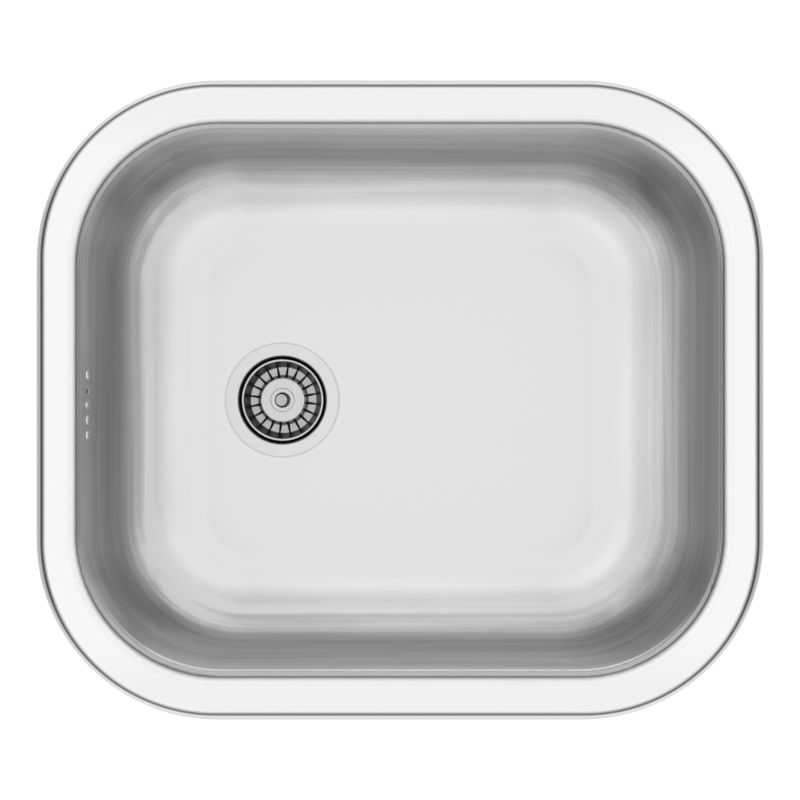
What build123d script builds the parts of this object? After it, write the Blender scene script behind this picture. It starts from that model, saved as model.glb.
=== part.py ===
from build123d import *
import math
import os

# Undermount kitchen sink: one pressed stainless bowl with a basket strainer in its floor
# and an overflow in its left wall. All lengths are in millimetres.
# Origin: centre of the rim's top face. +X along the sink, +Y to the back, +Z up.

# ---------------------------------------------------------------- rim and bowl
sheet = 1.0                 # stainless sheet that the bowl is pressed from
rim_length = 580.0
rim_width = 510.0
rim_corner = 144.0
lip_radius = 9.0            # outside radius of the edge turned down round the rim
lip_drop = 8.0              # rim top to the lower edge of the lip
lip_flare = 35.0            # degrees that the lip spreads outwards
end_border = 34.5           # rim's edge to the wall, at the left and right
long_border = 37.0          # the same at the front and back
bowl_corner = 112.0
bowl_depth = 180.0          # rim top to the inside of the floor
wall_draft = 3.0            # degrees that the walls lean in
roll_radius = 6.5           # rim rolls over into the bowl's collar
collar_step = 2.6           # the collar at the bowl's top is that much wider on every side
collar_depth = 9.4          # rim top to the collar's ledge
collar_radius = 1.3         # inside radii where the ledge meets the collar and the wall
floor_radius = 60.0         # wall runs out into the floor

# ---------------------------------------------------------------- drain in the floor
drain_inset = 139.5         # left wall at the rim's level to the drain's axis
drain_hole = 45.5           # radius of the hole in the floor
recess_radius = 55.5        # pressed seat for the gasket, hidden by the flange
recess_flare = 0.3          # how much wider the seat is at its top
recess_depth = 1.2
recess_fillet = 0.5

# ---------------------------------------------------------------- strainer cup
cup_sheet = 0.8
cup_gap = 1.9               # drain hole to the cup's wall
flange_radius = 56.5
throat_roll = 2.6           # flange rolls over into the throat
cup_taper = 1.4             # the throat is that much narrower at its foot
cup_depth = 25.5            # flange top to the seat for the basket's seal
cup_foot_fillet = 4.0
well_radius = 23.5          # hole in the seat
well_lip_fillet = 1.5
well_foot_radius = 17.0
well_depth = 14.5           # seat to the foot of the well
well_foot_fillet = 3.0
well_slots = 6
well_slot_width = 6.0
well_slot_start = 9.5       # distance of the slots from the axis
well_slot_height = 8.0      # how far the slots reach up the well

# ---------------------------------------------------------------- gaskets and waste body
gasket_inset = 1.5          # gaskets end that much inside the flange
gasket_bore_gap = 1.0       # drain hole to the gaskets
upper_gasket = 1.2
lower_gasket = 2.0
body_wall = 3.0
body_bore_gap = 1.0         # drain hole to the chamber of the waste body
body_flange = 4.0
body_chamber = 29.8         # height of the straight part of the chamber
body_cone = 17.0            # height of the cone under it
body_rib_count = 8
body_rib = 2.5
body_rib_height = 21.0      # below the flange
outlet_radius = 23.9        # G 1 1/2 outside thread
outlet_bore = 20.0
outlet_length = 22.0
hub_radius = 9.5            # boss that carries the threaded insert
hub_height = 22.0
hub_arms = 4
hub_arm = 3.0
insert_radius = 7.0
insert_height = 12.0
insert_cover = 3.0          # plastic above the insert

# ---------------------------------------------------------------- centre screw
screw_radius = 4.0
screw_fit = 0.05            # radial room of a threaded pair
screw_length = 22.0         # below the cup
socket_radius = 6.0         # hollow head that holds the basket's sleeve
socket_height = 9.6
socket_flange_radius = 8.2
socket_flange = 1.6
socket_floor = 1.5
driver_slot = 1.6
driver_slot_depth = 1.8

# ---------------------------------------------------------------- basket
basket_sheet = 0.7
basket_radius = 40.6
basket_top = 3.0            # flange top down to the basket's rim
basket_edge = 3.4           # rim turned down at the outside
basket_edge_radius = 1.0
basket_rim = 2.2            # width of the flat rim
basket_trough_outer = 33.0
basket_trough_inner = 24.0
basket_trough_depth = 10.5  # rim to the floor of the trough
basket_trough_fillet = 1.8
crown_foot_fillet = 3.0     # trough runs up into the crown's wall
crown_radius = 21.6         # raised centre disc
crown_rise = 9.5            # trough to the edge of the disc
crown_dome = 0.4
crown_fillet = 1.2
boss_radius = 11.2          # shallow pressed step round the knob
boss_rise = 0.7
boss_fillet = 0.3
slot_count = 20
slot_first = 11.0           # degrees from +X to the first slot
slot_inner_centre = 23.4
slot_inner_radius = 1.5
slot_outer_centre = 37.3
slot_outer_radius = 0.55

# ---------------------------------------------------------------- knob, spindle and seal
spindle_radius = 3.0
spindle_fit = 0.1
spindle_pin_radius = 2.0    # lower end, that carries the sleeve
spindle_pin_head = 2.6
spindle_pin_head_height = 1.0
knob_radius = 6.0
knob_neck = 4.5
knob_foot = 7.7             # foot spreads out onto the basket
knob_height = 10.0
knob_foot_edge = 0.6
knob_foot_height = 4.0
knob_head = 3.0
knob_fillet = 0.9
knob_dimple_radius = 14.0   # shallow hollow in the knob's top
knob_dimple_depth = 0.5
knob_bore_depth = 4.0
carrier_top = 9.5
carrier_neck = 6.5
carrier_radius = 23.0
carrier_plate = 2.0
carrier_ribs = 6
carrier_rib = 1.8
seal_radius = 28.5
seal_thickness = 3.2
seal_lip = 1.0              # how far the sealing lip hangs below the disc
seal_lip_width = 2.5
seal_gap = 0.3              # lip to its seat, when the basket sits
nut_flats = 10.0
nut_height = 4.0
sleeve_radius = 4.0
sleeve_fit = 0.08           # radial room of the sleeve in the hollow head
sleeve_bore_fit = 0.08      # radial room of the pin in the sleeve
sleeve_collar = 5.4
sleeve_collar_height = 1.2
sleeve_length = 7.3
sleeve_gap = 0.3            # ends of the sleeve to the nut and to the hollow head
sleeve_slit = 0.9
sleeve_slit_height = 4.5

# ---------------------------------------------------------------- overflow
overflow_drop = 23.0        # rim top to the row of holes
overflow_shift = 4.0        # row's centre to the front of the bowl's centre line
overflow_holes = 5
overflow_pitch = 12.25
overflow_hole = 3.6         # radius
overflow_gasket = 2.0
overflow_gasket_width = 3.2
head_length = 72.0
head_height = 21.0
head_depth = 25.0
head_wall = 2.2
head_fillet = 3.0
head_boss = 4.8             # boss for the screw in the middle hole
overflow_screw_radius = 2.5
overflow_screw_head = 4.6   # radius, so that the domed head covers the middle hole
overflow_screw_head_height = 2.4
overflow_screw_slot = 1.2
overflow_screw_slot_depth = 1.0
overflow_nut_flats = 8.0
overflow_nut_height = 4.0

# ---------------------------------------------------------------- overflow pipe
pipe_radius = 9.0
pipe_wall = 1.5
pipe_bend = 30.0
pipe_standoff = 13.5        # pipe axis outside the gasket of the overflow head
pipe_fit = 0.3              # radial room of the pipe in its sockets
pipe_socket = 11.5          # radius of the threaded sockets
pipe_insert = 10.0          # how deep the pipe goes into each socket
upper_socket_length = 16.0
lower_socket_reach = 24.0   # waste body's wall to the mouth of its socket
inlet_drop = 26.0           # floor to the axis of the waste body's inlet
pipe_seal_height = 3.0
pipe_seal_inset = 0.3
pipe_nut_radius = 14.2
pipe_nut_grip = 9.0         # how far the nut reaches over the socket
pipe_nut_lip = 2.0
pipe_nut_fit = 0.1
pipe_nut_lobes = 12
pipe_nut_lobe_radius = 1.2

# ---------------------------------------------------------------- sound-deadening pads
pad_thickness = 2.0
floor_pad_length = 250.0
floor_pad_width = 230.0
floor_pad_corner = 25.0
floor_pad_gap = 8.0         # waste body to the pad
wall_pad_height = 70.0
wall_pad_top = 32.0         # rim top to the pads
wall_pad_corner = 12.0
long_wall_pad = 240.0
end_wall_pad = 170.0

# ---------------------------------------------------------------- worked out from the above
draft = math.radians(wall_draft)
lean = math.tan(draft)
flare = math.radians(lip_flare)
wall_sheet = sheet / math.cos(draft)                      # sheet measured level through a wall
tiny = 0.01                                               # slack when edges are picked by place
clear = 5.0                                               # how far a cut reaches past what it cuts
floor_level = -bowl_depth
bowl_length = rim_length - 2 * end_border                  # between the walls, at the rim's top face
bowl_width = rim_width - 2 * long_border
drain_offset = bowl_length / 2 - drain_inset               # drain's axis, to the left of the centre
drain = Location((-drain_offset, 0, floor_level))         # frame on the floor, at the drain's axis

flange_top = -recess_depth + upper_gasket + cup_sheet
throat_radius = drain_hole - cup_gap - cup_sheet
cup_foot_radius = throat_radius - cup_taper
seat_level = flange_top - cup_depth
well_level = seat_level - well_depth
well_underside = well_level - cup_sheet
gasket_outer = flange_radius - gasket_inset
gasket_inner = drain_hole + gasket_bore_gap

body_top = -recess_depth - sheet - lower_gasket
chamber_radius = drain_hole + body_bore_gap
body_radius = chamber_radius + body_wall
cone_level = body_top - body_chamber
neck_level = cone_level - body_cone
outlet_level = neck_level - outlet_length
insert_level = well_underside - insert_cover

socket_top = well_level + socket_height
sleeve_top = socket_top + sleeve_gap + sleeve_collar_height
sleeve_foot = sleeve_top - sleeve_length
basket_rim_level = flange_top - basket_top
trough_level = basket_rim_level - basket_trough_depth
crown_level = trough_level + crown_rise
boss_level = crown_level + crown_dome + boss_rise
boss_underside = boss_level - basket_sheet
seal_foot = seat_level + seal_gap
seal_underside = seal_foot + seal_lip
seal_top = seal_underside + seal_thickness
knob_top = boss_level + knob_height

pipe_bore = pipe_radius - pipe_wall
inlet_level = floor_level - inlet_drop
nut_body_bore = pipe_socket + pipe_nut_fit


# ---------------------------------------------------------------- shared shapes
def ring(outer, inner, low, high):
    """Flat ring round the Z axis, from one level to another."""
    return Pos(0, 0, low) * extrude(Circle(outer) - Circle(inner), high - low)


def pressed(points, radii, thickness):
    """Sheet turned about the Z axis. The line is its upper face, drawn from the outside in."""
    line = FilletPolyline(*points, radius=radii)
    section = make_face(offset(line, thickness, side=Side.LEFT, closed=True))
    return revolve(Plane.XZ * section, Axis.Z)


def bar(radius, low, high):
    """Round bar along the Z axis, from one level to another."""
    return Pos(0, 0, low) * extrude(Circle(radius), high - low)


def turned(*points):
    """Solid turned about the Z axis, from the corners of its half section."""
    return revolve(Plane.XZ * make_face(Polyline(*points, close=True)), Axis.Z)


def hexagon_prism(flats, low, high):
    """Hexagon bar of that width across flats."""
    outline = RegularPolygon(flats / 2, 6, major_radius=False)
    return Pos(0, 0, low) * extrude(outline, high - low)


# ---------------------------------------------------------------- bowl
def bowl_plug(grow):
    """Tapered block with the bowl's form, grown on every side by a thickness."""
    side = grow / math.cos(draft)
    length = bowl_length + 2 * side
    width = bowl_width + 2 * side
    outline = RectangleRounded(length, width, bowl_corner + side)
    block = extrude(outline, -bowl_depth - grow, taper=wall_draft)
    floor_edges = block.faces().sort_by(Axis.Z)[0].edges()
    return fillet(floor_edges, floor_radius + grow)


def recess_plug(grow):
    """Shallow dish of the drain's seat, grown by a thickness."""
    foot = recess_radius + grow
    dish = turned(
        (0, -grow), (foot + recess_flare, -grow), (foot, -recess_depth - grow), (0, -recess_depth - grow)
    )
    return drain * dish


def collar_plug(grow):
    """Shallow block of the wider collar at the bowl's top, grown on every side by a thickness."""
    side = collar_step + grow
    outline = RectangleRounded(bowl_length + 2 * side, bowl_width + 2 * side, bowl_corner + side)
    block = extrude(outline, -collar_depth - grow)
    return fillet(block.faces().sort_by(Axis.Z)[0].edges(), collar_radius + grow)


def rim_block(inset, corner_radius):
    """Flared block under the rim's top face, that much inside the rim's faces."""
    top_inset = (lip_drop - inset) * math.tan(flare) + inset / math.cos(flare)
    outline = RectangleRounded(
        rim_length - 2 * top_inset, rim_width - 2 * top_inset, rim_corner - top_inset
    )
    block = Pos(0, 0, -inset) * extrude(outline, inset - lip_drop, taper=-lip_flare)
    return fillet(block.faces().sort_by(Axis.Z)[-1].edges(), corner_radius)


def left_wall(distance):
    """Plane along the left wall, that far outside its inner face, centred on the overflow holes.
    Its X is the sink's +Y, its Y points down the wall, its Z points out of the bowl."""
    outward = Vector(-math.cos(draft), 0, -math.sin(draft))
    inner = Vector(-bowl_length / 2 + overflow_drop * lean, -overflow_shift, -overflow_drop)
    return Plane(inner + outward * distance, x_dir=(0, 1, 0), z_dir=outward)


def hole_edges(shape, level):
    """Edges round the hole in the largest flat face at that level."""
    flats = shape.faces().filter_by(Plane.XY).filter_by_position(Axis.Z, level - tiny, level + tiny)
    return flats.sort_by(SortBy.AREA)[-1].inner_wires()[0].edges()


def sink_bowl():
    """Rim with its turned-down lip, rolled into the drawn bowl; drain and overflow holes."""
    shell = rim_block(0, lip_radius) - rim_block(sheet, lip_radius - sheet) + collar_plug(sheet)
    shell = fillet(hole_edges(shell, -sheet), roll_radius - sheet)
    shell = shell + bowl_plug(sheet) + recess_plug(sheet)
    shell = shell - collar_plug(0) - bowl_plug(0) - recess_plug(0)
    shell = fillet(hole_edges(shell, 0), roll_radius)
    shell = fillet(hole_edges(shell, -collar_depth), collar_radius)
    seat_edges = [edge for edge in shell.edges().filter_by(GeomType.CIRCLE) if is_seat_edge(edge)]
    shell = fillet(seat_edges, recess_fillet)
    shell -= drain * bar(drain_hole, -recess_depth - clear, clear)
    for row in range(overflow_holes):
        place = (row - (overflow_holes - 1) / 2) * overflow_pitch
        shell -= left_wall(0) * Pos(place, 0, 0) * bar(overflow_hole, -clear, clear)
    return shell


def is_seat_edge(edge):
    """True for the circles where the floor turns into the pressed seat of the drain."""
    on_axis = abs(edge.arc_center.X + drain_offset) < tiny and abs(edge.arc_center.Y) < tiny
    return on_axis and edge.radius >= recess_radius


# ---------------------------------------------------------------- sound-deadening pads
def floor_flat(side):
    """Distance from the centre to where the flat floor ends, for a bowl of that length or width."""
    return side / 2 - bowl_depth * lean - floor_radius * math.tan(math.pi / 4 - draft / 2)


def floor_pad():
    """Pad glued under the flat floor, cut out round the waste body."""
    pad = extrude(RectangleRounded(floor_pad_length, floor_pad_width, floor_pad_corner), -pad_thickness)
    centre = floor_flat(bowl_length) - floor_pad_length / 2
    pad = Pos(centre, 0, floor_level - sheet) * pad
    return pad - drain * bar(flange_radius + floor_pad_gap, -clear, 0)


def wall_pad(length, side, turn):
    """Pad glued to the outside of a wall that stands that far from the centre, turned about Z."""
    outline = RectangleRounded(length, wall_pad_height, wall_pad_corner)
    middle = wall_pad_top + wall_pad_height / 2
    lie = Plane(
        (side / 2 + wall_sheet - middle * lean, 0, -middle),
        x_dir=(0, 1, 0),
        z_dir=(math.cos(draft), 0, -math.sin(draft)),
    )
    return Rot(0, 0, turn) * (lie * extrude(outline, pad_thickness))


# ---------------------------------------------------------------- strainer cup and its gaskets
def drain_flange():
    """Pressed cup: flange in the floor's seat, throat, seat for the basket's seal, slotted well."""
    cup = pressed(
        [
            (flange_radius, flange_top),
            (throat_radius, flange_top),
            (cup_foot_radius, seat_level),
            (well_radius, seat_level),
            (well_foot_radius, well_level),
            (screw_radius + screw_fit, well_level),
        ],
        [throat_roll, cup_foot_fillet, well_lip_fillet, well_foot_fillet],
        cup_sheet,
    )
    slot_length = well_radius - well_slot_start
    slot = Box(
        slot_length, well_slot_width, well_slot_height + cup_sheet, align=(Align.MIN, Align.CENTER, Align.MIN)
    )
    for turn in range(well_slots):
        cup -= Rot(0, 0, turn * 360 / well_slots) * Pos(well_slot_start, 0, well_underside) * slot
    return drain * cup


def flange_gasket():
    """Flat gasket between the strainer's flange and the floor."""
    return drain * ring(gasket_outer, gasket_inner, -recess_depth, -recess_depth + upper_gasket)


def lower_seal():
    """Thick gasket between the floor and the waste body."""
    return drain * ring(gasket_outer, gasket_inner, body_top, body_top + lower_gasket)


# ---------------------------------------------------------------- waste body
def pipe_socket_shape(length):
    """Threaded socket for the overflow pipe. Its mouth is at z = 0 and it faces +Z."""
    return bar(pipe_socket, -length, 0)


def pipe_socket_bore(length):
    """Bore of a pipe socket: wide for the inserted pipe, then a shoulder and the waterway."""
    return bar(pipe_radius + pipe_fit, -pipe_insert, 0) + bar(pipe_bore, -length, 0)


def inlet_mouth():
    """Frame at the mouth of the waste body's overflow inlet, facing left."""
    place = (-drain_offset - body_radius - lower_socket_reach, 0, inlet_level)
    return Plane(place, x_dir=(0, 1, 0), z_dir=(-1, 0, 0))


def waste_body():
    """Moulded body under the floor: flange, chamber, cone, outlet thread, insert hub and inlet."""
    outside = turned(
        (0, body_top),
        (flange_radius, body_top),
        (flange_radius, body_top - body_flange),
        (body_radius, body_top - body_flange),
        (body_radius, cone_level),
        (outlet_radius, neck_level),
        (outlet_radius, outlet_level),
        (0, outlet_level),
    )
    rib_reach = flange_radius - body_radius
    rib_outline = Polyline((0, 0), (rib_reach, 0), (0, -body_rib_height), close=True)
    rib = extrude(Plane.XZ * make_face(rib_outline), body_rib / 2, both=True)
    for turn in range(body_rib_count):
        angle = (turn + 0.5) * 360 / body_rib_count
        outside += Rot(0, 0, angle) * Pos(body_radius, 0, body_top - body_flange) * rib
    inside = turned(
        (0, body_top),
        (chamber_radius, body_top),
        (chamber_radius, cone_level),
        (outlet_bore, neck_level),
        (outlet_bore, outlet_level),
        (0, outlet_level),
    )
    arm_low = well_underside - hub_height
    hub = bar(hub_radius, arm_low, well_underside)
    arm = Box(2 * body_radius, hub_arm, hub_height - hub_arm, align=(Align.CENTER, Align.CENTER, Align.MIN))
    for turn in range(hub_arms // 2):
        hub += Rot(0, 0, turn * 360 / hub_arms) * Pos(0, 0, arm_low) * arm
    hub -= bar(insert_radius, insert_level - insert_height, insert_level)
    hub -= bar(screw_radius + screw_fit, arm_low, well_underside)
    body = drain * (outside - inside + (hub & inside))
    reach = body_wall / 2 + lower_socket_reach
    body += inlet_mouth() * pipe_socket_shape(reach)
    return body - inlet_mouth() * pipe_socket_bore(reach + body_wall)


def waste_insert():
    """Brass insert moulded into the hub, threaded for the centre screw."""
    return drain * ring(insert_radius, screw_radius + screw_fit, insert_level - insert_height, insert_level)


def centre_screw():
    """Screw that pulls cup and waste body together. Its hollow head guides the basket."""
    head = turned(
        (0, well_level + socket_floor),
        (sleeve_radius + sleeve_fit, well_level + socket_floor),
        (sleeve_radius + sleeve_fit, socket_top),
        (socket_radius, socket_top),
        (socket_radius, well_level + socket_flange),
        (socket_flange_radius, well_level + socket_flange),
        (socket_flange_radius, well_level),
        (screw_radius, well_level),
        (screw_radius, well_underside - screw_length),
        (0, well_underside - screw_length),
    )
    slot = Box(2 * socket_radius + clear, driver_slot, 2 * driver_slot_depth)
    return drain * (head - Pos(0, 0, socket_top) * slot)


# ---------------------------------------------------------------- basket
def basket():
    """Pressed basket: flat rim, steep wall, trough, raised crown, and its tapered slots."""
    inner_rim = basket_radius - basket_rim
    dish = pressed(
        [
            (basket_radius, basket_rim_level - basket_edge),
            (basket_radius, basket_rim_level),
            (inner_rim, basket_rim_level),
            (basket_trough_outer, trough_level),
            (basket_trough_inner, trough_level),
            (crown_radius, crown_level),
            (boss_radius + boss_rise, crown_level + crown_dome),
            (boss_radius, boss_level),
            (spindle_radius + spindle_fit, boss_level),
        ],
        [
            basket_edge_radius,
            basket_edge_radius,
            basket_trough_fillet,
            crown_foot_fillet,
            crown_fillet,
            boss_fillet,
            boss_fillet,
        ],
        basket_sheet,
    )
    ends = Pos(slot_inner_centre, 0) * Circle(slot_inner_radius)
    ends += Pos(slot_outer_centre, 0) * Circle(slot_outer_radius)
    cutter_low = trough_level - basket_sheet - clear
    cutter_high = basket_rim_level + clear
    cutter = Pos(0, 0, cutter_low) * extrude(make_hull(ends.edges()), cutter_high - cutter_low)
    for place in range(slot_count):
        dish -= Rot(0, 0, slot_first + place * 360 / slot_count) * cutter
    return drain * dish


def basket_knob():
    """Turned knob to lift the basket by, with a shallow dimple in its top."""
    head_level = knob_top - knob_head
    knob = turned(
        (0, boss_level),
        (knob_foot, boss_level),
        (knob_foot, boss_level + knob_foot_edge),
        (knob_neck, boss_level + knob_foot_height),
        (knob_neck, head_level),
        (knob_radius, head_level),
        (knob_radius, knob_top),
        (0, knob_top),
    )
    head_edges = knob.edges().filter_by(GeomType.CIRCLE).filter_by_position(Axis.Z, head_level, knob_top)
    knob = fillet([edge for edge in head_edges if edge.radius > knob_neck + tiny], knob_fillet)
    knob -= Pos(0, 0, knob_top + knob_dimple_radius - knob_dimple_depth) * Sphere(knob_dimple_radius)
    return drain * (knob - bar(spindle_radius + screw_fit, boss_level, boss_level + knob_bore_depth))


def basket_spindle():
    """Rod through the basket, threaded into the knob; its thin end holds the sleeve."""
    shoulder = sleeve_top + sleeve_gap / 2
    pin_end = sleeve_foot - sleeve_gap / 2
    return drain * turned(
        (0, boss_level + knob_bore_depth),
        (spindle_radius, boss_level + knob_bore_depth),
        (spindle_radius, shoulder),
        (spindle_pin_radius, shoulder),
        (spindle_pin_radius, pin_end),
        (spindle_pin_head, pin_end),
        (spindle_pin_head, pin_end - spindle_pin_head_height / 2),
        (spindle_pin_radius, pin_end - spindle_pin_head_height),
        (0, pin_end - spindle_pin_head_height),
    )


def seal_carrier():
    """Moulded hub between basket and seal, with ribs under the crown."""
    plate_top = seal_top + carrier_plate
    hub = turned(
        (spindle_radius + spindle_fit, boss_underside),
        (carrier_top, boss_underside),
        (carrier_neck, boss_underside - (carrier_top - carrier_neck)),
        (carrier_neck, plate_top),
        (carrier_radius, plate_top),
        (carrier_radius, seal_top),
        (spindle_radius + spindle_fit, seal_top),
    )
    rib_low = plate_top
    rib_high = boss_underside - (carrier_top - carrier_neck)
    rib_outline = Polyline(
        (carrier_neck - carrier_rib, rib_low),
        (carrier_radius - carrier_rib, rib_low),
        (carrier_neck - carrier_rib, rib_high),
        close=True,
    )
    rib = extrude(Plane.XZ * make_face(rib_outline), carrier_rib / 2, both=True)
    for turn in range(carrier_ribs):
        hub += Rot(0, 0, turn * 360 / carrier_ribs) * rib
    return drain * hub


def basket_seal():
    """Rubber disc with a hanging lip that closes on the cup's seat."""
    lip_inner = seal_radius - seal_lip_width
    return drain * turned(
        (spindle_radius + spindle_fit, seal_top),
        (carrier_radius, seal_top),
        (seal_radius, seal_top - seal_thickness / 2),
        (seal_radius, seal_foot),
        (lip_inner, seal_foot),
        (lip_inner - seal_lip, seal_underside),
        (spindle_radius + spindle_fit, seal_underside),
    )


def spindle_nut():
    """Nut that clamps carrier and seal up against the basket."""
    nut = hexagon_prism(nut_flats, seal_underside - nut_height, seal_underside)
    return drain * (nut - bar(spindle_radius + screw_fit, seal_underside - nut_height, seal_underside))


def detent_sleeve():
    """Split plastic sleeve that clicks into the hollow head of the centre screw."""
    bore = spindle_pin_radius + sleeve_bore_fit
    sleeve = turned(
        (bore, sleeve_foot),
        (sleeve_radius, sleeve_foot),
        (sleeve_radius, sleeve_top - sleeve_collar_height),
        (sleeve_collar, sleeve_top - sleeve_collar_height),
        (sleeve_collar, sleeve_top),
        (bore, sleeve_top),
    )
    slit = Box(2 * sleeve_radius + clear, sleeve_slit, 2 * sleeve_slit_height)
    for turn in (0, 90):
        sleeve -= Rot(0, 0, turn) * Pos(0, 0, sleeve_foot) * slit
    return drain * sleeve


# ---------------------------------------------------------------- overflow behind the left wall
def head_outline(inset):
    """Long rounded outline of the overflow head, that much smaller all round."""
    return SlotOverall(head_length - 2 * inset, head_height - 2 * inset)


def overflow_frame(distance):
    """Plane that far outside the left wall's outer face."""
    return left_wall(sheet + distance)


def head_mouth():
    """Frame at the mouth of the overflow head's socket, facing down."""
    level = -overflow_drop - head_height / 2 - upper_socket_length
    across = overflow_frame(overflow_gasket + pipe_standoff).origin.X
    return Plane((across, 0, level), x_dir=(0, 1, 0), z_dir=(0, 0, -1))


def overflow_gasket_ring():
    """Flat gasket between the wall and the overflow head."""
    flat = head_outline(0) - head_outline(overflow_gasket_width)
    return overflow_frame(0) * extrude(flat, overflow_gasket)


def overflow_head():
    """Moulded collector behind the holes, with a boss for the screw and a socket below."""
    frame = overflow_frame(overflow_gasket)
    block = extrude(head_outline(0), head_depth)
    block = fillet(block.faces().sort_by(Axis.Z)[-1].edges(), head_fillet)
    cavity = extrude(head_outline(head_wall), head_depth - head_wall)
    boss = bar(head_boss, 0, head_depth)
    nut_pocket = hexagon_prism(overflow_nut_flats, head_depth - overflow_nut_height, head_depth)
    screw_hole = bar(overflow_screw_radius + screw_fit, -clear, head_depth + clear)
    socket_length = upper_socket_length + head_height / 2
    outside = frame * block + head_mouth() * pipe_socket_shape(socket_length)
    inside = frame * (cavity - boss) + (head_mouth() * pipe_socket_bore(socket_length) - frame * boss)
    return outside - inside - frame * (nut_pocket + screw_hole)


def overflow_screw():
    """Slotted screw through the middle hole, with its domed head inside the bowl."""
    height = overflow_screw_head_height
    dome_radius = (overflow_screw_head ** 2 + height ** 2) / (2 * height)
    head = bar(overflow_screw_head, -height, 0) & Pos(0, 0, dome_radius - height) * Sphere(dome_radius)
    slot = Box(2 * overflow_screw_head, overflow_screw_slot, 2 * overflow_screw_slot_depth)
    shank = bar(overflow_screw_radius, 0, sheet + overflow_gasket + head_depth)
    return left_wall(0) * (head - Pos(0, 0, -height) * slot + shank)


def overflow_nut():
    """Captive nut in the back of the overflow head."""
    top = overflow_gasket + head_depth
    nut = hexagon_prism(overflow_nut_flats, top - overflow_nut_height, top)
    return overflow_frame(0) * (nut - bar(overflow_screw_radius + screw_fit, top - overflow_nut_height, top))


# ---------------------------------------------------------------- overflow pipe
def overflow_pipe():
    """Rigid moulded pipe: down behind the bowl, one bend, and across into the waste body."""
    top = head_mouth().origin
    foot = inlet_mouth().origin
    start = (top.X, 0, top.Z + pipe_insert)
    corner = (top.X, 0, foot.Z)
    end = (foot.X + pipe_insert, 0, foot.Z)
    route = FilletPolyline(start, corner, end, radius=pipe_bend)
    section = Circle(pipe_radius) - Circle(pipe_bore)
    return sweep(Plane(start, z_dir=(0, 0, -1)) * section, path=route)


def pipe_seal():
    """Rubber ring round the pipe, on the mouth of a socket."""
    return ring(pipe_socket - pipe_seal_inset, pipe_radius, 0, pipe_seal_height)


def pipe_nut():
    """Ring nut with finger lobes, that presses the rubber ring onto the socket."""
    high = pipe_seal_height + pipe_nut_lip
    nut = ring(pipe_nut_radius, nut_body_bore, -pipe_nut_grip, high)
    nut += ring(pipe_nut_radius, pipe_radius + pipe_fit, pipe_seal_height, high)
    lobe = Pos(pipe_nut_radius, 0, 0) * bar(pipe_nut_lobe_radius, -pipe_nut_grip, high)
    for turn in range(pipe_nut_lobes):
        nut -= Rot(0, 0, (turn + 0.5) * 360 / pipe_nut_lobes) * lobe
    return nut


# ---------------------------------------------------------------- one STEP file for each piece
pieces = {
    "sink_bowl": sink_bowl(),
    "floor_pad": floor_pad(),
    "back_wall_pad": wall_pad(long_wall_pad, bowl_width, 90),
    "front_wall_pad": wall_pad(long_wall_pad, bowl_width, -90),
    "right_wall_pad": wall_pad(end_wall_pad, bowl_length, 0),
    "drain_flange": drain_flange(),
    "flange_gasket": flange_gasket(),
    "lower_gasket": lower_seal(),
    "waste_body": waste_body(),
    "waste_insert": waste_insert(),
    "centre_screw": centre_screw(),
    "basket": basket(),
    "basket_knob": basket_knob(),
    "basket_spindle": basket_spindle(),
    "seal_carrier": seal_carrier(),
    "basket_seal": basket_seal(),
    "spindle_nut": spindle_nut(),
    "detent_sleeve": detent_sleeve(),
    "overflow_head": overflow_head(),
    "overflow_gasket": overflow_gasket_ring(),
    "overflow_screw": overflow_screw(),
    "overflow_nut": overflow_nut(),
    "overflow_pipe": overflow_pipe(),
    "upper_pipe_seal": head_mouth() * pipe_seal(),
    "upper_pipe_nut": head_mouth() * pipe_nut(),
    "lower_pipe_seal": inlet_mouth() * pipe_seal(),
    "lower_pipe_nut": inlet_mouth() * pipe_nut(),
}

os.makedirs("parts", exist_ok=True)
for name, piece in pieces.items():
    export_step(piece, f"parts/{name}.step")
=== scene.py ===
import bpy
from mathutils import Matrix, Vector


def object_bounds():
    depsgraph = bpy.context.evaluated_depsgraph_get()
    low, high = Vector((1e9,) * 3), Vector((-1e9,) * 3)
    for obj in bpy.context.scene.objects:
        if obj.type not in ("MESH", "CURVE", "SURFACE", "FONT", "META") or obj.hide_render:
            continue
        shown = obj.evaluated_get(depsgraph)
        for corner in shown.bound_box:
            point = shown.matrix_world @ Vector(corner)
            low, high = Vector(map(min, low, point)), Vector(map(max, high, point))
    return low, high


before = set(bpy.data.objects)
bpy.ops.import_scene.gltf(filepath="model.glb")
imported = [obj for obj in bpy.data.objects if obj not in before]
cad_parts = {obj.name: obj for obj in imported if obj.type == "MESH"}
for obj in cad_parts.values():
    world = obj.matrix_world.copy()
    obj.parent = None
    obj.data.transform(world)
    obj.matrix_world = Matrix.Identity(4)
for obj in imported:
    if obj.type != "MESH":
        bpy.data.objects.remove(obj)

# Looks of the sink. Everything is in metres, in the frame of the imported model:
# origin at the centre of the rim's top face, +X right, +Y back, +Z up.

cad_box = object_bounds()

MM = 0.001

# ---------------------------------------------------------------- photograph's camera
CAMERA_HEIGHT = 0.727            # above the rim
PIXELS_PER_METRE = 1266.8        # at the rim
IMAGE_SIDE = 800                 # pixels
SENSOR = 36.0                    # millimetres
CLIP_START = 0.01
CLIP_END = 50.0

# ---------------------------------------------------------------- places on the sheet
RIM_CORNER = 144.0 * MM          # radius of the rim's outline
LIP_END = 12.0 * MM              # in plan, from the rim's edge
ROLL_END = -7.5 * MM             # height at which the roll has become the collar
LEDGE_FOOT = -11.5 * MM          # height at which the collar's ledge has become the wall
HOLES_FOOT = -40.0 * MM          # lower than the overflow holes, higher than the floor's rounding
FLOOR_LEVEL = -180.0 * MM
BLEND = 1.0 * MM                 # over which one part's tone gives way to the next

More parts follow.
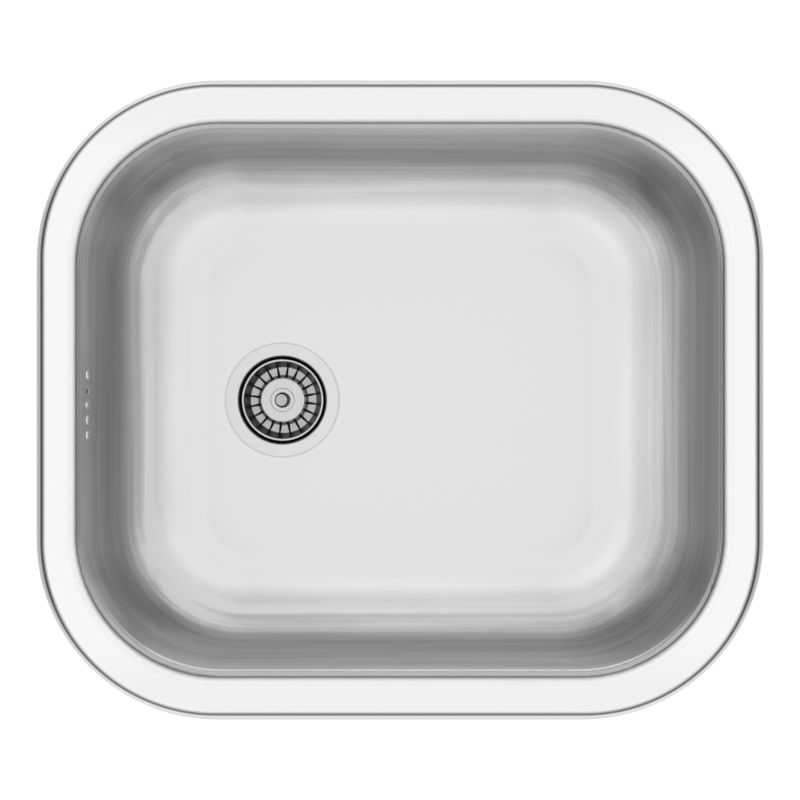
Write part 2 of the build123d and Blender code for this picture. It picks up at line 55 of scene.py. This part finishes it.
# Each span below is a value's range, from where its effect starts to where it is full.
LIP_ENDS = (0.15, 0.24)          # from the middle, to the front or the back: the lip's long curve
RIM_ENDS = (0.19, 0.23)          # the same way: the painted shade on the front and back of the rim
LEDGE_ENDS = (0.1, 0.19)         # the same way: the ends of the ledge, lighter with painted light
LEFT_TO_RIGHT = (-0.2, 0.2)      # from the bowl's left corners to its right ones
LEDGE_SLOPE = (0.6, 0.1)         # steepness, 0 on level faces and 1 on upright ones
CORNER_TURN = (0.0, 0.45)        # product of the normal's X and Y parts, 0.5 half way round a corner
LONG_WALL_TURN = (0.75, 1.0)     # the normal's part towards the front or the back
FRONT_TURN = (0.5, 0.9)          # the normal's part towards the back, on the front wall
RIGHT_TURN = (-0.6, -1.0)        # the normal's part towards the right, on the right wall
UPWARD = 0.3                     # least Z of the normal of a face that looks up

# ---------------------------------------------------------------- painted light and shade of the sheet
# A curve is a list of marks (place, value). On the inside of the bowl the place is the depth,
# from the rim (0) to the floor (1), on the roll it is the slope, from level (0) to upright (1),
# and on the lip it is the distance from the rim's edge (0) to the lip's end (1).
# Painted shade on the walls and painted light on the rounding and floor, by depth.
BOWL_PAINTED_LIGHT = [
    (0.0, 0.36), (0.07, 0.46), (0.17, 0.4), (0.4, 0.32), (0.54, 0.4), (0.65, 0.6),
    (0.76, 0.75), (0.85, 1.0), (0.93, 0.9), (0.965, 0.79), (0.985, 0.76), (1.0, 0.77),
]
# Painted reflection on the roll, by its slope: light where level, dark where upright.
ROLL_PAINTED_LIGHT = [(0.0, 0.93), (0.1, 0.88), (0.4, 1.0), (0.7, 0.75), (1.0, 0.33)]
LIP_SIDE_PAINTED_LIGHT = [                # painted light and shade on the lip, on the left and right
    (0.0, 0.42), (0.28, 0.36), (0.4, 0.46), (0.48, 0.17), (0.55, 0.03),
    (0.62, 0.12), (0.72, 0.42), (0.79, 0.72), (0.86, 0.93), (1.0, 0.93),
]
LIP_LONG_PAINTED_LIGHT = [                # painted light and shade on the lip, on the front and back
    (0.0, 0.62), (0.3, 0.75), (0.38, 0.86), (0.46, 0.32), (0.525, 0.12),
    (0.6, 0.27), (0.69, 0.66), (0.76, 0.9), (0.83, 0.93), (1.0, 0.93),
]
RIM_END_PAINTED_SHADE = (1.0, 0.94)      # painted shade, as a share of the rim's tone, at the middle and at its front and back
LEDGE_PAINTED_LIGHT = (0.3, 0.58)         # painted light on the ledge, at the middle, and at the front and back
HOLE_EDGE_PAINTED_HIGHLIGHT = 1.0             # painted highlight on the edges of the overflow holes
OUTSIDE_TONE = 0.52
MOST_TONE = 1.0                  # no metal gives back more light than it gets
SHEET_LEVEL = 0.8                # plain level and roughness, for viewers that don't follow the nodes
SHEET_ROUGHNESS = 0.28

# Painted light and shade on the walls: shares of their tone, by depth.
# Painted shade high in the corners and painted light deep in them.
CORNER_PAINTED_LIGHT = [
    (0.0, 1.0), (0.06, 0.97), (0.1, 0.84), (0.2, 0.84), (0.38, 1.0),
    (0.48, 0.95), (0.6, 1.0), (0.7, 1.15), (1.0, 1.15),
]
# Painted highlight bands and painted shade on the front wall.
FRONT_WALL_PAINTED_LIGHT = [
    (0.0, 1.0), (0.058, 1.0), (0.066, 1.8), (0.08, 1.8), (0.09, 1.0), (0.5, 1.0), (0.58, 1.08),
    (0.66, 1.18), (0.72, 1.22), (0.78, 1.08), (0.82, 0.9), (0.86, 1.0), (1.0, 1.0),
]
# Painted shade near the top and painted light lower down on the right wall.
RIGHT_WALL_PAINTED_LIGHT = [
    (0.0, 1.0), (0.05, 0.8), (0.16, 0.78), (0.28, 1.04), (0.41, 1.48),
    (0.54, 1.64), (0.68, 1.24), (0.78, 1.16), (0.84, 1.0), (1.0, 1.0),
]
CORNER_SIDE_PAINTED_LIGHT = (1.18, 0.85)      # painted light, as a share of the corners' tone, at the left and at the right
CORNER_IN_USE = (0.1, 1.0)       # how much of it counts on a straight wall, and in a corner
LONG_WALL_PAINTED_LIGHT = 0.4             # extra painted light on the front and back walls
LONG_WALL_PAINTED_LIGHT_SHARE = [(0.0, 1.0), (0.5, 1.0), (0.68, 0.1), (1.0, 0.0)]   # of that painted light, by depth

BOWL_ROUGHNESS = [(0.0, 0.5), (0.5, 0.7), (0.8, 0.9), (0.9, 0.6), (0.97, 0.35), (1.0, 0.22)]
FOOT_MATTE = [(0.0, 0.0), (0.8, 0.0), (0.85, 1.0), (0.9, 1.0), (0.95, 0.0), (1.0, 0.0)]   # front wall
ROLL_ROUGHNESS = [(0.0, 0.18), (0.1, 0.3), (0.4, 0.8), (1.0, 0.5)]
LIP_ROUGHNESS = [(0.0, 0.18), (0.3, 0.15), (1.0, 0.3)]   # this one goes by the slope too

# ---------------------------------------------------------------- marks, grain and painted corner blotches
# Grain, clouds, dust, bands and lines are noise, in cells per metre: for X, Y and Z where there
# are three numbers. Shares are what the tone is multiplied by.
SOFT = 2.0                       # detail of a noise
FINE = 3.0
DUSTY = 4.0
NOISE_SPAN = (0.3, 0.7)          # where nearly all of a noise's values lie
DRAWING_BANDS = (3.5, 3.5, 110.0)
DRAWING_LINES = (3.0, 3.0, 420.0)
BAND_SHARES = (0.88, 1.12)
LINE_SHARES = (0.96, 1.04)
# Painted blotchy reflections in the bowl's corners, and their shares of the tone:
CORNER_PAINTED_BLOTCHES = 16.0
CORNER_PAINTED_BLOTCH_SHARES = (0.75, 1.2)
SHEET_GRAIN = 900.0
GRAIN_HEIGHT = (0.0, 0.12)       # beside the height of the drawing lines, which is 1
SHEET_RELIEF = 0.01 * MM

STEEL_GRAIN = 1400.0
STEEL_CLOUDS = 60.0
STEEL_CLOUD_SHARES = (0.97, 1.03)
STEEL_SMOOTHER = 0.04            # change of roughness in the clouds, down
STEEL_ROUGHER = 0.05             # and up
STEEL_RELIEF = 0.01 * MM
STEEL_UPRIGHT_PAINTED_SHADE = (0.03, 0.35)     # slopes over which the painted shade on upright faces comes in
STEEL_DEEP_PAINTED_SHADE = (0.45, 0.95)        # heights, 0 at the foot and 1 at the top, over which painted shade darkens it

PLASTIC_GRAIN = 2200.0
PLASTIC_CLOUDS = 40.0
PLASTIC_ROUGHER = 0.06           # change of roughness in the clouds, up and down
PLASTIC_TINT = 0.04              # change of level in the clouds, up and down
PLASTIC_RELIEF = 0.05 * MM
MILKY_DEPTH = 8.0 * MM           # how far light spreads in the white plastic
MILKY_COLOURS = (1.0, 1.0, 1.0)  # red, green and blue spread alike

RUBBER_GRAIN = 1600.0
RUBBER_DUST = 70.0
RUBBER_PLAIN_ROUGHNESS = 0.75
RUBBER_ROUGHNESS = (0.65, 0.85)  # in the dust
RUBBER_DUST_SHARES = (0.85, 1.3)
RUBBER_RELIEF = 0.08 * MM

BRASS_COLOUR = (0.75, 0.55, 0.24, 1.0)
BRASS_CLOUDS = 80.0
BRASS_PLAIN_ROUGHNESS = 0.3
BRASS_ROUGHNESS = (0.25, 0.4)    # in the clouds

# Painted shade on the round parts: shares of a part's level by the distance from its axis, 1 at its edge.
FULL_LEVEL = [(0.0, 1.0), (1.0, 1.0)]
SIDES_PAINTED_SHADE = [(0.0, 0.3), (1.0, 0.3)]
SCREW_SIDES_PAINTED_SHADE = [(0.0, 0.6), (1.0, 0.6)]
BASKET_SIDES_PAINTED_SHADE = [(0.0, 1.0), (0.6, 1.0), (0.65, 0.36), (1.0, 0.36)]
# painted shadow at the flange's outer edge
FLANGE_EDGE_PAINTED_SHADOW = [(0.0, 1.0), (0.975, 1.0), (0.985, 0.8), (1.0, 0.7)]

# ---------------------------------------------------------------- floor and light
FLOOR_SIDE = 3.0
FLOOR_DROP = 0.5 * MM            # below the object, so that nothing lies in the floor
FLOOR_GREY = 0.88
FLOOR_ROUGHNESS = 0.9
FLOOR_GLOW = 0.9                 # how much of it is plain white to the rays that show the background
SKY = [(0.0, 0.06), (0.12, 0.2), (0.3, 0.95), (0.7, 1.0), (1.0, 0.98)]   # light by a direction's Z
SKY_FRONT_BACK = 0.5             # how much more light comes from low at the front and back
SKY_LEFT = 0.3                   # and from low at the left
LAMP_SIDE = 2.5
LAMP_HEIGHT = 2.2                # above the rim
LAMP_POWER = 45.0                # watts

# ---------------------------------------------------------------- node trees
BOX_MIDDLE = (0.5, 0.5, 0.0)     # in shares of the object's own box
BOX_HALVES = (2.0, 2.0, 0.0)     # turns shares of the box's sides into shares of half of them
IN_PLAN = (1.0, 1.0, 0.0)
NEW_STOP = 0.5                   # anywhere on a ramp, as curve() moves it to its mark


def grey(value):
    """Neutral colour of that linear level."""
    return (value, value, value, 1.0)


class Nodes:
    """A node tree, and the few steps that all trees here share."""

    def __init__(self, tree):
        self.tree = tree

    def add(self, kind):
        return self.tree.nodes.new("ShaderNode" + kind)

    def link(self, source, target):
        self.tree.links.new(source, target)

    def feed(self, socket, value):
        """A plain number or vector is set on the socket itself, anything else is linked to it."""
        if isinstance(value, (float, tuple)):
            socket.default_value = value
        else:
            self.link(value, socket)

    def part(self, vector, axis):
        """One of a vector's three numbers."""
        split = self.add("SeparateXYZ")
        self.link(vector, split.inputs["Vector"])
        return split.outputs[axis]

    def math(self, operation, first, second):
        node = self.add("Math")
        node.operation = operation
        self.feed(node.inputs[0], first)
        self.feed(node.inputs[1], second)
        return node.outputs["Value"]

    def magnitude(self, value):
        """The value without its sign."""
        return self.math("ABSOLUTE", value, 0.0)

    def product(self, first, *others):
        for other in others:
            first = self.math("MULTIPLY", first, other)
        return first

    def vector(self, operation, first, second=None, result="Vector"):
        node = self.add("VectorMath")
        node.operation = operation
        self.feed(node.inputs[0], first)
        if second is not None:
            self.feed(node.inputs[1], second)
        return node.outputs[result]

    def spread(self, value, levels, span=NOISE_SPAN):
        """The first of the levels where the value is at the start of the span, the second at its end."""
        node = self.add("MapRange")
        node.inputs["From Min"].default_value = span[0]
        node.inputs["From Max"].default_value = span[1]
        node.inputs["To Min"].default_value = levels[0]
        node.inputs["To Max"].default_value = levels[1]
        self.link(value, node.inputs["Value"])
        return node.outputs["Result"]

    def share(self, value, start, stop):
        """0 where the value is at start or before it, 1 where it is at stop or past it."""
        return self.spread(value, (0.0, 1.0), (start, stop))

    def mixed(self, amount, first, second):
        """The first value, or the second where the amount is 1."""
        node = self.add("Mix")
        self.feed(node.inputs["Factor"], amount)
        self.feed(node.inputs["A"], first)
        self.feed(node.inputs["B"], second)
        return node.outputs["Result"]

    def curve(self, value, marks):
        """Values between the marks, a list of (place, value)."""
        node = self.add("ValToRGB")
        stops = node.color_ramp.elements
        while len(stops) < len(marks):
            stops.new(NEW_STOP)
        for stop, (place, level) in zip(stops, marks):
            stop.position = place
            stop.color = grey(level)
        self.link(value, node.inputs["Fac"])
        return node.outputs["Color"]

    def background_rays(self):
        """1 for the rays that show the background: from the camera, in gloss and through glass."""
        rays = self.add("LightPath")
        total = rays.outputs["Is Camera Ray"]
        for kind in ("Is Glossy Ray", "Is Transmission Ray"):
            total = self.math("MAXIMUM", total, rays.outputs[kind])
        return total


class Finish(Nodes):
    """A procedural material on one shader."""

    def __init__(self, name, colour, roughness, metallic=0.0):
        self.material = bpy.data.materials.new(name)
        self.material.use_nodes = True
        super().__init__(self.material.node_tree)
        self.shader = self.tree.nodes["Principled BSDF"]
        self.shader.inputs["Base Color"].default_value = colour
        self.shader.inputs["Roughness"].default_value = roughness
        self.shader.inputs["Metallic"].default_value = metallic
        coordinates = self.add("TexCoord")
        self.place = coordinates.outputs["Object"]
        self.normal = coordinates.outputs["Normal"]
        self.in_box = coordinates.outputs["Generated"]

    def noise(self, cells, detail=SOFT):
        """Soft noise between 0 and 1, with that many cells per metre."""
        mapping = self.add("Mapping")
        mapping.inputs["Scale"].default_value = cells if isinstance(cells, tuple) else (cells, cells, cells)
        self.link(self.place, mapping.inputs["Vector"])
        node = self.add("TexNoise")
        node.inputs["Scale"].default_value = 1.0
        node.inputs["Detail"].default_value = detail
        self.link(mapping.outputs["Vector"], node.inputs["Vector"])
        return node.outputs["Fac"]

    def along(self, axis):
        """Place along that axis, in metres from the object's origin."""
        return self.part(self.place, axis)

    def normal_along(self, axis):
        """How far the surface's normal points along that axis, -1 to 1."""
        return self.part(self.normal, axis)

    def steepness(self):
        """0 on level faces, 1 on upright ones."""
        return self.share(self.magnitude(self.normal_along("Z")), 1.0, 0.0)

    def height_share(self):
        """0 at the object's foot, 1 at its top."""
        return self.part(self.in_box, "Z")

    def axis_distance(self):
        """0 on the upright axis of a round object, 1 at its edge."""
        centred = self.vector("SUBTRACT", self.in_box, BOX_MIDDLE)
        plan = self.vector("MULTIPLY", centred, BOX_HALVES)
        return self.vector("LENGTH", plan, result="Value")

    def from_edge(self, corner):
        """Distance in plan from the rim's edge, a rectangle about the origin with that corner radius."""
        right, back, _ = cad_box[1]
        plan = self.vector("ABSOLUTE", self.vector("MULTIPLY", self.place, IN_PLAN))
        past = self.vector("SUBTRACT", plan, (right - corner, back - corner, 0.0))
        reach = self.vector("LENGTH", self.vector("MAXIMUM", past, (0.0, 0.0, 0.0)), result="Value")
        return self.math("SUBTRACT", corner, reach)

    def facing_centre(self):
        """1 on the faces turned to the origin, the inside of the bowl."""
        towards = self.vector("DOT_PRODUCT", self.place, self.normal, result="Value")
        return self.math("LESS_THAN", towards, 0.0)

    def colour_from(self, value):
        self.link(value, self.shader.inputs["Base Color"])

    def colour_between(self, value, first, second):
        node = self.add("Mix")
        node.data_type = "RGBA"
        node.inputs["A"].default_value = first
        node.inputs["B"].default_value = second
        self.link(value, node.inputs["Factor"])
        self.colour_from(node.outputs["Result"])

    def roughness_from(self, value):
        self.link(value, self.shader.inputs["Roughness"])

    def bump_from(self, value, depth):
        """Relief of that depth in metres."""
        node = self.add("Bump")
        node.inputs["Distance"].default_value = depth
        self.link(value, node.inputs["Height"])
        self.link(node.outputs["Normal"], self.shader.inputs["Normal"])


# ---------------------------------------------------------------- finishes
class Sheet(Finish):
    """Satin stainless of the bowl, its colour carrying painted light and shade. Its values say what part of
    the sheet a point lies on.
    """

    def __init__(self):
        super().__init__("drawn_steel_painted_light", grey(SHEET_LEVEL), SHEET_ROUGHNESS, metallic=1.0)
        self.slope = self.steepness()
        self.height = self.along("Z")
        self.depth = self.share(self.height, 0.0, FLOOR_LEVEL)
        self.from_middle = self.magnitude(self.along("Y"))
        self.edge = self.from_edge(RIM_CORNER)
        self.lip = self.share(self.edge, LIP_END + BLEND, LIP_END)
        under_roll = self.share(self.height, ROLL_END, ROLL_END - BLEND)
        self.bowl = self.mixed(self.lip, under_roll, 0.0)
        self.front = self.share(self.normal_along("Y"), *FRONT_TURN)
        self.right = self.share(self.normal_along("X"), *RIGHT_TURN)
        self.upward = self.math("GREATER_THAN", self.normal_along("Z"), UPWARD)

    def rim_painted_light(self):
        """Painted light and shade of the lip, flat and roll."""
        across = self.share(self.edge, 0.0, LIP_END)
        ends = self.share(self.from_middle, *LIP_ENDS)
        lip_painted_light = self.mixed(ends, self.curve(across, LIP_SIDE_PAINTED_LIGHT), self.curve(across, LIP_LONG_PAINTED_LIGHT))
        tone = self.mixed(self.lip, self.curve(self.slope, ROLL_PAINTED_LIGHT), lip_painted_light)
        return self.product(tone, self.spread(self.from_middle, RIM_END_PAINTED_SHADE, RIM_ENDS))

    def bowl_painted_light(self):
        """Painted light and shade of the walls and floor and of the ledge under the roll, and a painted
        highlight on the edges of the overflow holes.
        """
        on_ledge = self.product(
            self.share(self.slope, *LEDGE_SLOPE),
            self.share(self.height, LEDGE_FOOT, LEDGE_FOOT + BLEND),
        )
        ledge_painted_light = self.spread(self.from_middle, LEDGE_PAINTED_LIGHT, LEDGE_ENDS)
        tone = self.mixed(on_ledge, self.curve(self.depth, BOWL_PAINTED_LIGHT), ledge_painted_light)
        # Painted highlight on the upward cut faces of the overflow holes.
        on_hole_edge = self.product(
            self.upward,
            self.share(self.height, HOLES_FOOT, HOLES_FOOT + BLEND),
            self.share(self.height, LEDGE_FOOT, LEDGE_FOOT - BLEND),
        )
        return self.mixed(on_hole_edge, tone, HOLE_EDGE_PAINTED_HIGHLIGHT)

    def wall_painted_light(self):
        """Painted light and shade: how much lighter or darker the front, back and right walls are than the
        left one.
        """
        front = self.mixed(self.front, 1.0, self.curve(self.depth, FRONT_WALL_PAINTED_LIGHT))
        right = self.mixed(self.right, 1.0, self.curve(self.depth, RIGHT_WALL_PAINTED_LIGHT))
        turn = self.magnitude(self.normal_along("Y"))
        gain = self.product(
            self.spread(turn, (0.0, LONG_WALL_PAINTED_LIGHT), LONG_WALL_TURN),
            self.curve(self.depth, LONG_WALL_PAINTED_LIGHT_SHARE),
            self.bowl,
        )
        return self.product(front, right, self.math("ADD", gain, 1.0))

    def marks(self, lines):
        """Drawing marks on the walls, and painted light and shade in their corners, broken into painted
        blotchy reflections by soft clouds.
        """
        bands = self.noise(DRAWING_BANDS, FINE)
        clouds = self.noise(CORNER_PAINTED_BLOTCHES, FINE)
        streaks = self.product(self.spread(bands, BAND_SHARES), self.spread(lines, LINE_SHARES))
        # Painted light and shade in the corners, in blotches, lighter at the left.
        painted_corner_light = self.product(
            self.curve(self.depth, CORNER_PAINTED_LIGHT),
            self.spread(clouds, CORNER_PAINTED_BLOTCH_SHARES),
            self.spread(self.along("X"), CORNER_SIDE_PAINTED_LIGHT, LEFT_TO_RIGHT),
        )
        turn = self.product(self.magnitude(self.normal_along("X")), self.magnitude(self.normal_along("Y")))
        painted_light_in_corners = self.mixed(self.spread(turn, CORNER_IN_USE, CORNER_TURN), 1.0, painted_corner_light)
        return self.mixed(self.product(self.slope, self.bowl), 1.0, self.product(streaks, painted_light_in_corners))

    def rim_roughness(self):
        """Polished on the flat, duller down the roll."""
        return self.mixed(
            self.lip, self.curve(self.slope, ROLL_ROUGHNESS), self.curve(self.slope, LIP_ROUGHNESS)
        )

    def bowl_roughness(self):
        """By depth, and matte at the front wall's foot."""
        matte = self.product(self.front, self.curve(self.depth, FOOT_MATTE))
        return self.mixed(matte, self.curve(self.depth, BOWL_ROUGHNESS), 1.0)


def drawn_steel_painted_light():
    """The sink's sheet: its painted light and shade, then faint drawing lines level round the walls."""
    sheet = Sheet()
    lines = sheet.noise(DRAWING_LINES)
    tone = sheet.mixed(sheet.bowl, sheet.rim_painted_light(), sheet.bowl_painted_light())
    on_show = sheet.math("MAXIMUM", sheet.facing_centre(), sheet.upward)
    shown = sheet.mixed(on_show, OUTSIDE_TONE, tone)
    # The painted light and shade of the walls and corners multiply the tone.
    tone_with_painted_light = sheet.product(shown, sheet.wall_painted_light(), sheet.marks(lines))
    sheet.colour_from(sheet.math("MINIMUM", tone_with_painted_light, MOST_TONE))
    sheet.roughness_from(sheet.mixed(sheet.bowl, sheet.rim_roughness(), sheet.bowl_roughness()))
    grain = sheet.spread(sheet.noise(SHEET_GRAIN, FINE), GRAIN_HEIGHT)
    sheet.bump_from(sheet.math("ADD", lines, grain), SHEET_RELIEF)
    return sheet.material


def bright_steel(name, level, roughness, upright=FULL_LEVEL, foot=1.0, speckle=0.04, ring_painted_shade=FULL_LEVEL):
    """Stainless of the small round parts, with painted shade where it is upright or lies deep.

    Foot is the share of the level left at the object's foot, painted shade low down. Upright, the share
    left on upright faces, and ring, the share left anywhere, are painted shade; they go by the distance
    from the axis, 1 at the edge.
    Speckle is how far the level goes up and down with the grain.
    """
    finish = Finish(name, grey(level), roughness, metallic=1.0)
    grain = finish.noise(STEEL_GRAIN, FINE)
    clouds = finish.noise(STEEL_CLOUDS)
    radius = finish.axis_distance()
    is_upright = finish.share(finish.steepness(), *STEEL_UPRIGHT_PAINTED_SHADE)
    tone = finish.product(
        finish.mixed(is_upright, 1.0, finish.curve(radius, upright)),
        finish.spread(finish.height_share(), (foot, 1.0), STEEL_DEEP_PAINTED_SHADE),
        finish.curve(radius, ring_painted_shade),
        level,
        finish.spread(grain, (1.0 - speckle, 1.0 + speckle)),
        finish.spread(clouds, STEEL_CLOUD_SHARES),
    )
    finish.colour_from(tone)
    finish.roughness_from(finish.spread(clouds, (roughness - STEEL_SMOOTHER, roughness + STEEL_ROUGHER)))
    finish.bump_from(grain, STEEL_RELIEF)
    return finish.material


def moulded_plastic(name, level, roughness, milky=0.0, clear=0.0):
    """Moulded plastic with a fine spark-eroded grain.

    Milky is how far light spreads in it, in metres, and clear the share that goes through.
    """
    finish = Finish(name, grey(level), roughness)
    if milky:
        finish.shader.inputs["Subsurface Weight"].default_value = 1.0
        finish.shader.inputs["Subsurface Radius"].default_value = MILKY_COLOURS
        finish.shader.inputs["Subsurface Scale"].default_value = milky
    finish.shader.inputs["Transmission Weight"].default_value = clear
    clouds = finish.noise(PLASTIC_CLOUDS)
    tints = grey(level * (1.0 - PLASTIC_TINT)), grey(level * (1.0 + PLASTIC_TINT))
    finish.colour_between(finish.share(clouds, *NOISE_SPAN), *tints)
    finish.roughness_from(finish.spread(clouds, (roughness - PLASTIC_ROUGHER, roughness + PLASTIC_ROUGHER)))
    finish.bump_from(finish.noise(PLASTIC_GRAIN), PLASTIC_RELIEF)
    return finish.material


def rubber(name, level):
    """Matte rubber, slightly dusty."""
    finish = Finish(name, grey(level), RUBBER_PLAIN_ROUGHNESS)
    dust = finish.noise(RUBBER_DUST, DUSTY)
    tints = [grey(level * share) for share in RUBBER_DUST_SHARES]
    finish.colour_between(finish.share(dust, *NOISE_SPAN), *tints)
    finish.roughness_from(finish.spread(dust, RUBBER_ROUGHNESS))
    finish.bump_from(finish.noise(RUBBER_GRAIN, DUSTY), RUBBER_RELIEF)
    return finish.material


def brass():
    """Plain turned brass."""
    finish = Finish("turned_brass", BRASS_COLOUR, BRASS_PLAIN_ROUGHNESS, metallic=1.0)
    finish.roughness_from(finish.spread(finish.noise(BRASS_CLOUDS, FINE), BRASS_ROUGHNESS))
    return finish.material


def paint(material, *nodes):
    """Gives these CAD nodes one finish."""
    for name in nodes:
        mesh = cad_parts[name].data
        mesh.materials.clear()
        mesh.materials.append(material)


def paint_metal():
    paint(drawn_steel_painted_light(), "sink_bowl")
    # The flange, basket, knob and overflow screw steels carry painted shade on upright faces, low down and
    # at the flange's edge.
    paint(
        bright_steel(
            "flange_steel_painted_shade", level=0.74, roughness=0.3, upright=SIDES_PAINTED_SHADE, foot=0.08, ring_painted_shade=FLANGE_EDGE_PAINTED_SHADOW
        ),
        "drain_flange",
    )
    paint(
        bright_steel(
            "basket_steel", level=0.68, roughness=0.3, upright=BASKET_SIDES_PAINTED_SHADE, foot=0.7, speckle=0.16
        ),
        "basket",
    )
    paint(
        bright_steel("knob_steel", level=0.5, roughness=0.25, upright=SIDES_PAINTED_SHADE, foot=0.7, speckle=0.16),
        "basket_knob",
    )
    paint(
        bright_steel("screw_steel", level=0.5, roughness=0.3),
        "centre_screw", "basket_spindle", "spindle_nut", "overflow_nut",
    )
    paint(
        bright_steel("screw_head_steel_painted_shade", level=0.85, roughness=0.25, upright=SCREW_SIDES_PAINTED_SHADE),
        "overflow_screw",
    )
    paint(brass(), "waste_insert")


def paint_plastic():
    paint(
        moulded_plastic("body_plastic", level=0.9, roughness=0.35, milky=MILKY_DEPTH),
        "waste_body", "upper_pipe_nut", "lower_pipe_nut",
    )
    paint(
        moulded_plastic("head_plastic", level=0.95, roughness=0.35, milky=MILKY_DEPTH, clear=0.94),
        "overflow_head",
    )
    paint(moulded_plastic("pipe_plastic", level=0.82, roughness=0.35), "overflow_pipe")
    paint(moulded_plastic("carrier_plastic", level=0.03, roughness=0.45), "seal_carrier")
    paint(moulded_plastic("sleeve_plastic", level=0.8, roughness=0.4), "detent_sleeve")


def paint_rubber():
    paint(
        rubber("black_rubber", level=0.035),
        "flange_gasket", "lower_gasket", "basket_seal", "overflow_gasket",
        "upper_pipe_seal", "lower_pipe_seal",
    )
    paint(
        rubber("deadening_pad", level=0.16),
        "floor_pad", "back_wall_pad", "front_wall_pad", "right_wall_pad",
    )


# ---------------------------------------------------------------- studio
def floor_finish():
    """White floor that still takes the object's shadow."""
    finish = Finish("studio_floor", grey(FLOOR_GREY), FLOOR_ROUGHNESS)
    glow = finish.add("Emission")
    glow.inputs["Color"].default_value = grey(1.0)
    mix = finish.add("MixShader")
    finish.link(finish.product(finish.background_rays(), FLOOR_GLOW), mix.inputs["Fac"])
    finish.link(finish.shader.outputs["BSDF"], mix.inputs[1])
    finish.link(glow.outputs["Emission"], mix.inputs[2])
    finish.link(mix.outputs["Shader"], finish.tree.nodes["Material Output"].inputs["Surface"])
    return finish.material


def studio_floor():
    """Plain floor just under the lowest point of the object."""
    level = cad_box[0][2] - FLOOR_DROP
    half = FLOOR_SIDE / 2
    mesh = bpy.data.meshes.new("studio_floor")
    corners = [(-half, -half, level), (half, -half, level), (half, half, level), (-half, half, level)]
    mesh.from_pydata(corners, [], [(0, 1, 2, 3)])
    mesh.materials.append(floor_finish())
    floor = bpy.data.objects.new("studio_floor", mesh)
    bpy.context.scene.collection.objects.link(floor)


def studio_sky():
    """Soft light from above that falls off to the sides. The rays that show the background see white."""
    world = bpy.data.worlds.new("studio")
    bpy.context.scene.world = world
    world.use_nodes = True
    sky = Nodes(world.node_tree)
    direction = sky.add("TexCoord").outputs["Generated"]
    right, back, up = (sky.part(direction, axis) for axis in "XYZ")
    ends = sky.product(back, back, SKY_FRONT_BACK)
    side = sky.product(right, -SKY_LEFT)
    low = sky.math("SUBTRACT", 1.0, up)
    gain = sky.math("ADD", sky.product(sky.math("ADD", ends, side), low), 1.0)
    light = sky.product(sky.curve(up, SKY), gain)
    shown = sky.math("MAXIMUM", light, sky.background_rays())
    sky.link(shown, sky.tree.nodes["Background"].inputs["Color"])


def fill_light():
    """Large soft lamp overhead for the matte pieces; gloss shows the sky instead."""
    lamp = bpy.data.lights.new("fill", "AREA")
    lamp.shape = "SQUARE"
    lamp.size = LAMP_SIDE
    lamp.energy = LAMP_POWER
    light = bpy.data.objects.new("fill", lamp)
    light.location = (0.0, 0.0, LAMP_HEIGHT)
    light.visible_glossy = False
    light.visible_camera = False
    bpy.context.scene.collection.objects.link(light)


def camera():
    """Straight above the sink, as in the photograph."""
    data = bpy.data.cameras.new("camera")
    data.sensor_width = SENSOR
    data.lens = PIXELS_PER_METRE * CAMERA_HEIGHT * SENSOR / IMAGE_SIDE
    data.clip_start = CLIP_START
    data.clip_end = CLIP_END
    view = bpy.data.objects.new("camera", data)
    view.location = (0.0, 0.0, CAMERA_HEIGHT)
    bpy.context.scene.collection.objects.link(view)
    bpy.context.scene.camera = view


paint_metal()
paint_plastic()
paint_rubber()
studio_floor()
studio_sky()
fill_light()
camera()
bpy.context.scene.view_settings.view_transform = "Standard"
